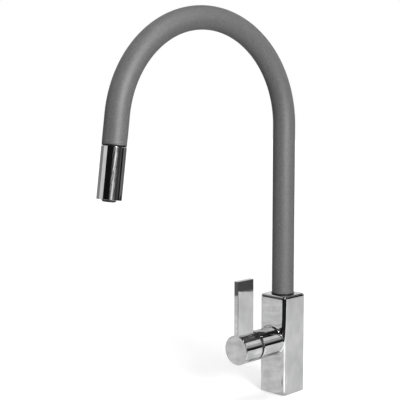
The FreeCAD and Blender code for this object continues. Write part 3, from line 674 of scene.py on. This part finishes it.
wall_card("corner_left", -180, -84, 0.0, 0.30, 0.30)
wall_card("corner_left_upper", -150, -84, 0.30, 0.50, 0.30)
wall_card("room_left", -49, -3, 0.0, 1.2, 0.010)
wall_card("room_middle", -3, 14, 0.0, 1.2, 0.05, distance=wall_distance + 0.01)
wall_card("room_right_near", 14, 52, 0.0, 1.2, 0.07, distance=wall_distance + 0.02)
wall_card("room_right", 52, 88, 0.0, 1.2, 0.055)
wall_card("light_sliver", 74, 79, 0.0, 1.2, 0.12, distance=wall_distance - 0.02, waver=0.4)
wall_card("window_foot", 88, 104, 0.0, 0.21, 0.010)
wall_card("window_sill", 88, 112, 0.21, 0.33, 0.14)
wall_card("window_lower", 88, 112, 0.33, 0.64, 0.50)
wall_card("window_upper", 88, 114, 0.64, 1.02, 0.85)
wall_card("edge_right", 104, 110, 0.0, 0.18, 0.15)
wall_card("corner_right", 110, 180, 0.0, 0.30, 0.22)
wall_card("back_high_dark", 114, 158, 1.02, 2.4, 0.10)
wall_card("back_high_grey", 153, 180, 0.55, 1.50, 0.42)
wall_card("left_upper", -110, -80, 0.47, 1.6, 0.40)
wall_card("left_upper_near", -80, -51, 0.66, 1.27, 1.0)
wall_card("back_left_high", -165, -112, 1.15, 2.2, 0.80)
wall_card("light_between_curtains", 16, 27, 0.0, 1.2, 1.1, distance=wall_distance - 0.04,
          waver=3.5, uneven=0.75)
wall_card("light_on_curtains", 6, 38, 0.0, 1.2, 0.34, distance=wall_distance - 0.03,
          waver=4.5, uneven=0.8)

# The main lamp's cover and its bright middle.
wall_card("lamp_face", 13, 40, 0.37, 0.87, 1.2, distance=1.22)
wall_card("lamp_core", 22, 31, 0.54, 0.70, 10.0, distance=1.21)

# Paper under the tap.
# The white paper that the tap stands on ends a hand's breadth in front of it and over half a metre to each
# side. Dark cloth lies beyond it. Glowing cards paint the main lamp's pool of light on the paper, brightest
# close in front of the tap, and the tap's shadow on it under the barrel.
paper_front = 0.27
paper_left = -0.646
paper_right = 0.59
paper_patch = (0.03, 0.03)
cloth_reach = 1.6
cloth_seam = 0.85
towards = np.array([math.sin(camera_side), -math.cos(camera_side), 0.0])
rightward = np.array([math.cos(camera_side), math.sin(camera_side), 0.0])


def lying_card(name, near, far, level, uneven=0.0, height=0.0002):
    """A card flat on the worktop. Each end is its distance towards the camera, its left and its right."""
    lift = np.array([0.0, 0.0, height])
    corners = [rightward * across + towards * end + lift for end, across in
               ((near[0], near[1]), (near[0], near[2]), (far[0], far[2]), (far[0], far[1]))]
    card(name, corners, [(0, 1, 2, 3)], level, uneven, paper_patch)


lying_card("cloth_front", (paper_front, paper_left, paper_right),
           (cloth_reach, paper_left, paper_right), 0.02)
lying_card("cloth_left", (-cloth_reach, -cloth_reach, paper_left),
           (cloth_reach, -cloth_reach, paper_left), 0.15)
lying_card("cloth_right", (-cloth_reach, paper_right, cloth_seam),
           (cloth_reach, paper_right, cloth_seam), 0.10)
lying_card("cloth_far_right", (-cloth_reach, cloth_seam, cloth_reach),
           (cloth_reach, cloth_seam, cloth_reach), 0.01)
# Painted light: cards that stand for the paper where the main lamp lights it, to the left and right of the
# tap.
lying_card("paper_lit_left", (-0.06, -0.62, -0.012), (0.24, -0.62, -0.012), 0.82, uneven=0.12)
# Painted shadow: a dim card where the tap's shadow lies on the paper under the barrel.
lying_card("paper_shaded", (0.043, -0.052, -0.022), (0.080, -0.060, -0.020), 0.40, height=0.0004)
lying_card("paper_lit_right", (0.014, 0.05, 0.24), (0.034, 0.05, 0.24), 1.05)
# Painted light: a bright card for the main lamp's pool of light on the paper just in front of the tap.
lying_card("paper_painted_light_pool", (0.035, 0.002, 0.015), (paper_front, -0.02, 0.19), 1.6)

# A small, strong lamp high above the tap, which the rounded rims mirror as white spots.
lying_card("lamp_above", (0.42, 0.17, 0.33), (0.57, 0.17, 0.33), 32.0, height=1.3)

# Flags.
# Two narrow dark strips hang close in front of the column's two sides, level with its top, and draw the
# dark line along the rounded edges. The flat sides show them only in their last millimetre below that line.
column_half = 0.019
flag_gap = 0.015
flag_foot = 0.1087
flag_place = column_half + flag_gap


def flag(name, start, end, top, level):
    """An upright strip between two places on the worktop's plane."""
    corners = [(*start, flag_foot), (*end, flag_foot), (*end, top), (*start, top)]
    card(name, corners, [(0, 1, 2, 3)], level)


flag("flag_front", (-0.046, -flag_place), (0.010, -flag_place), 0.128, 0.10)
flag("flag_side", (flag_place, -0.002), (flag_place, 0.075), 0.135, 0.008)

# Dark ceiling.
# The room above the cards is dark, which draws the dark lines along the rounded edges.
ceiling_radius = 2.6
ceiling_start = 37.5
ceiling_end = 89.5
ceiling_level = 0.03
ceiling_rows = 14
ceiling_around = 48

rise_angle = np.radians(np.linspace(ceiling_start, ceiling_end, ceiling_rows))
round_angle = np.radians(np.linspace(0, 360, ceiling_around, endpoint=False))
dome = ceiling_radius * np.stack([np.cos(rise_angle)[:, None] * np.cos(round_angle),
                                  np.cos(rise_angle)[:, None] * np.sin(round_angle),
                                  np.sin(rise_angle)[:, None] + 0 * round_angle], axis=-1)
number = np.arange(ceiling_rows * ceiling_around).reshape(ceiling_rows, ceiling_around)
card("dark_ceiling", dome.reshape(-1, 3), cells(np.hstack([number, number[:, :1]])), ceiling_level)

# Lamps.
# One large soft lamp in front, to the right and above, is the main light. Mirror rays also see the two cards
# in front of it, its cover and its bright middle. A wide one overhead lights the worktop evenly.
lamp_angle = 26.7
lamp_distance = 1.3
lamp_height = 0.62
lamp_wide = 0.55
lamp_tall = 0.42
lamp_power = 20
lamp_aim = Vector((0, -0.1, 0.2))
overhead_strength = 2.0
overhead_spread = math.radians(50)

lamp = bpy.data.objects.new("lamp_main", bpy.data.lights.new("lamp_main", "AREA"))
lamp.data.shape = "RECTANGLE"
lamp.data.size = lamp_wide
lamp.data.size_y = lamp_tall
lamp.data.energy = lamp_power
lamp.location = Vector(round_place(lamp_angle, lamp_distance, lamp_height))
lamp.rotation_euler = (lamp_aim - lamp.location).to_track_quat("-Z", "Y").to_euler()
bpy.context.scene.collection.objects.link(lamp)

overhead = bpy.data.objects.new("lamp_overhead", bpy.data.lights.new("lamp_overhead", "SUN"))
overhead.data.energy = overhead_strength
overhead.data.angle = overhead_spread
overhead.visible_glossy = False
bpy.context.scene.collection.objects.link(overhead)

# Surroundings.
# An even, low light from all sides. The camera sees it as full white, mirror rays as the bright walls of a
# studio.
room_light = 0.15
mirrored_light = 0.83

world = bpy.data.worlds.new("surroundings")
world.use_nodes = True
bpy.context.scene.world = world
backdrop = world.node_tree.nodes["Background"]
backdrop.inputs["Color"].default_value = (1.0, 1.0, 1.0, 1.0)
ray = add(world, "ShaderNodeLightPath")
mirrored = spread(world, ray.outputs["Is Glossy Ray"], room_light, mirrored_light, start=0.0, end=1.0)
direct = add(world, "ShaderNodeMath", {0: ray.outputs["Is Camera Ray"], 1: mirrored}, operation="MAXIMUM")
world.node_tree.links.new(direct.outputs[0], backdrop.inputs["Strength"])
bpy.context.scene.view_settings.view_transform = "Standard"
